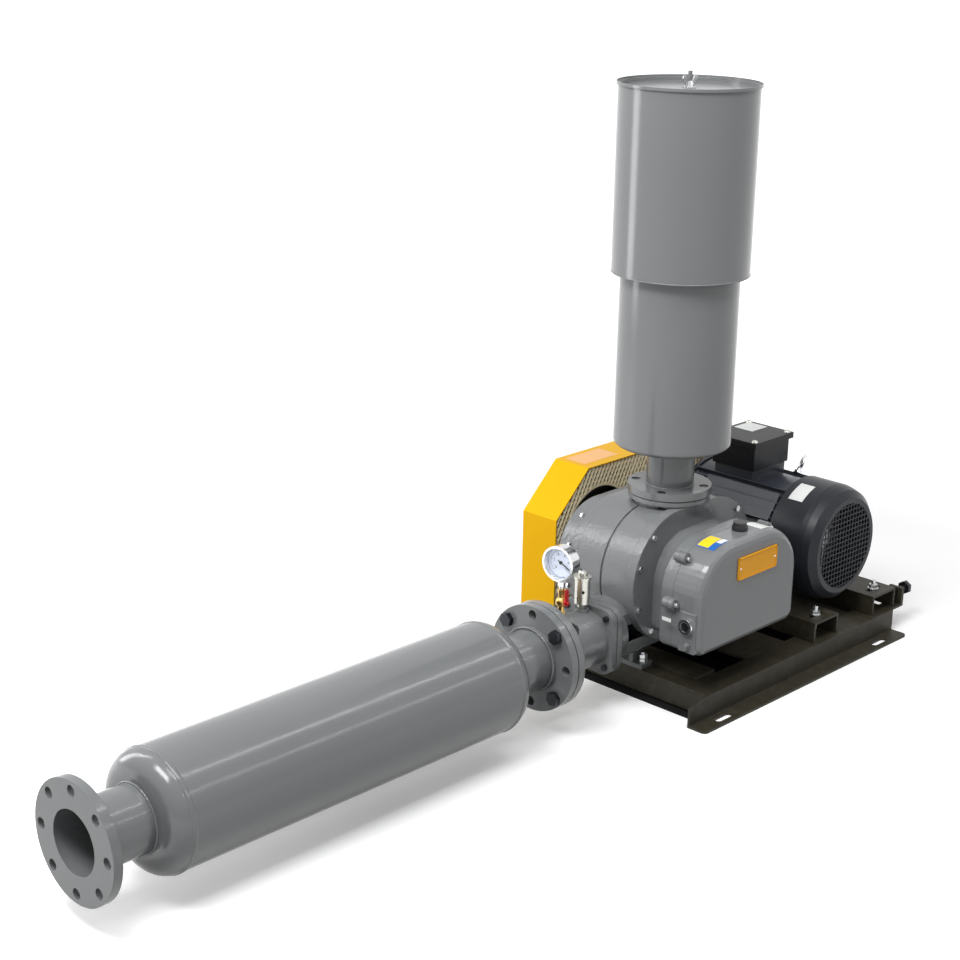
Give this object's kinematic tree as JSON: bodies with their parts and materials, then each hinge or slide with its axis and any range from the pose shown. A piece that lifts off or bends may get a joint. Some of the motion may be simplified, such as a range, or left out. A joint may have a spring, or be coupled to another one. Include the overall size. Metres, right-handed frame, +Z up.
{
  "type": "roots blower package",
  "caption": "Belt driven three-lobe roots blower on a bent steel base, with intake silencer, discharge silencer, gauge, relief valve, belt guard and motor.",
  "frame": {"origin": "centre of the four floor slots of the base, at floor level", "axes": "+X along the discharge line from the silencer towards the motor, +Y from the gear cover towards the belt guard, +Z up"},
  "size_m": [2.438, 0.653, 1.456],
  "materials": {
    "grey_paint": "satin machinery enamel",
    "base_paint": "satin black enamel",
    "bright_steel": "zinc plated or machined",
    "chrome": "polished",
    "dark_steel": "black oxide",
    "black_rubber": "matt",
    "black_plastic": "matt",
    "sight_glass": "clear over dark oil",
    "clear_glass": "clear",
    "dial_face": "matt printed",
    "orange_plate": "satin",
    "filter_media": "pleated felt",
    "brass": "machined",
    "red_paint": "gloss",
    "pale_steel": "satin",
    "yellow_paint": "satin",
    "gold_mesh": "satin",
    "charcoal_paint": "satin",
    "copper_winding": "varnished"
  },
  "bodies": {
    "root": {"base_front_beam": "base_paint", "base_rear_beam": "base_paint", "base_cross_members": "base_paint", "blower_bed": "base_paint", "blower_foot_bolts": "bright_steel", "rotor_casing": "grey_paint", "front_side_plate": "grey_paint", "rear_side_plate": "grey_paint", "gear_case": "grey_paint", "gear_cover": "grey_paint", "casing_bolts": "bright_steel", "drive_end_cover": "grey_paint", "rotor_bearings": "bright_steel", "shaft_seals": "black_rubber", "sight_glass_ring": "chrome", "sight_glass_lens": "sight_glass", "drain_plug": "grey_paint", "name_plate": "orange_plate", "intake_silencer": "grey_paint", "intake_hood": "grey_paint", "filter_element": "filter_media", "gaskets": "black_rubber", "discharge_tee": "grey_paint", "flange_bolts": "dark_steel", "discharge_silencer": "grey_paint", "silencer_core": "bright_steel", "gauge_case": "chrome", "gauge_dial": "dial_face", "gauge_glass": "clear_glass", "gauge_cock": "brass", "relief_valve": "pale_steel", "belt_guard": "yellow_paint", "guard_mesh": "gold_mesh", "v_belts": "black_rubber", "rail_clamp_bolts": "bright_steel"},
    "oil_cap": {"oil_filler_cap": "black_plastic"},
    "lid": {"intake_lid": "grey_paint"},
    "wing": {"wing_nut": "bright_steel"},
    "needle": {"gauge_needle": "black_plastic"},
    "cock_handle": {"cock_lever": "red_paint"},
    "relief_stem": {"relief_spindle": "bright_steel"},
    "relief_handle": {"relief_lever": "chrome"},
    "drive_shaft": {"drive_rotor": "bright_steel", "drive_gear": "bright_steel", "blower_pulley": "dark_steel"},
    "idle_shaft": {"idle_rotor": "bright_steel", "idle_gear": "bright_steel"},
    "motor_carriage": {"motor_rails": "base_paint", "motor_frame": "charcoal_paint", "motor_end_bells": "charcoal_paint", "stator": "copper_winding", "fan_cowl": "charcoal_paint", "terminal_box": "charcoal_paint", "terminal_lid": "charcoal_paint", "motor_fittings": "chrome", "motor_foot_bolts": "bright_steel"},
    "motor_shaft": {"motor_rotor": "bright_steel", "cooling_fan": "bright_steel", "motor_pulley": "dark_steel"},
    "tension_screw": {"tension_bolt": "dark_steel"}
  },
  "joints": [
    {"name": "drive_spin", "type": "hinge", "parent": "root", "child": "drive_shaft", "pos_m": [-0.14, 0.027, 0.296], "axis": [0, 1, 0], "continuous": true},
    {"name": "idle_spin", "type": "hinge", "parent": "root", "child": "idle_shaft", "pos_m": [-0.3, 0.027, 0.296], "axis": [0, 1, 0], "continuous": true},
    {"name": "motor_spin", "type": "hinge", "parent": "motor_carriage", "child": "motor_shaft", "pos_m": [0.235, 0, 0.274], "axis": [0, 1, 0], "continuous": true},
    {"name": "carriage_slide", "type": "slide", "parent": "root", "child": "motor_carriage", "axis": [1, 0, 0], "range_m": [-0.02, 0.02], "deforming": ["v_belts"]},
    {"name": "tension_turn", "type": "hinge", "parent": "motor_carriage", "child": "tension_screw", "pos_m": [0.5, -0.2, 0.092], "axis": [1, 0, 0], "range_deg": [-3600, 3600]},
    {"name": "needle_turn", "type": "hinge", "parent": "root", "child": "needle", "pos_m": [-0.598, 0.027, 0.385], "axis": [0.9925, 0.1219, 0], "range_deg": [0, 270]},
    {"name": "cock_turn", "type": "hinge", "parent": "root", "child": "cock_handle", "pos_m": [-0.598, 0.027, 0.28935], "axis": [0, 1, 0], "range_deg": [0, 90]},
    {"name": "relief_pop", "type": "slide", "parent": "root", "child": "relief_stem", "axis": [0, 0, 1], "range_m": [0, 0.006], "stiffness_N_per_m": 3000, "springref_m": -0.004},
    {"name": "relief_lift", "type": "hinge", "parent": "root", "child": "relief_handle", "pos_m": [-0.525, 0.027, 0.3417], "axis": [0, 1, 0], "range_deg": [0, 40]},
    {"name": "lid_lift", "type": "slide", "parent": "root", "child": "lid", "axis": [0, 0, 1], "range_m": [0, 0.15]},
    {"name": "wing_turn", "type": "hinge", "parent": "lid", "child": "wing", "pos_m": [-0.22, 0.027, 1.43], "axis": [0, 0, 1], "continuous": true},
    {"name": "oil_cap_turn", "type": "hinge", "parent": "root", "child": "oil_cap", "pos_m": [-0.198, -0.169, 0.417], "axis": [0, 0, 1], "range_deg": [0, 360]}
  ],
  "couplings": [
    {"joint": "idle_spin", "follows": "drive_spin", "ratio": -1},
    {"joint": "motor_spin", "follows": "drive_spin", "ratio": 1.3889},
    {"joint": "tension_turn", "follows": "carriage_slide", "rad_per_m": 3141.6}
  ]
}
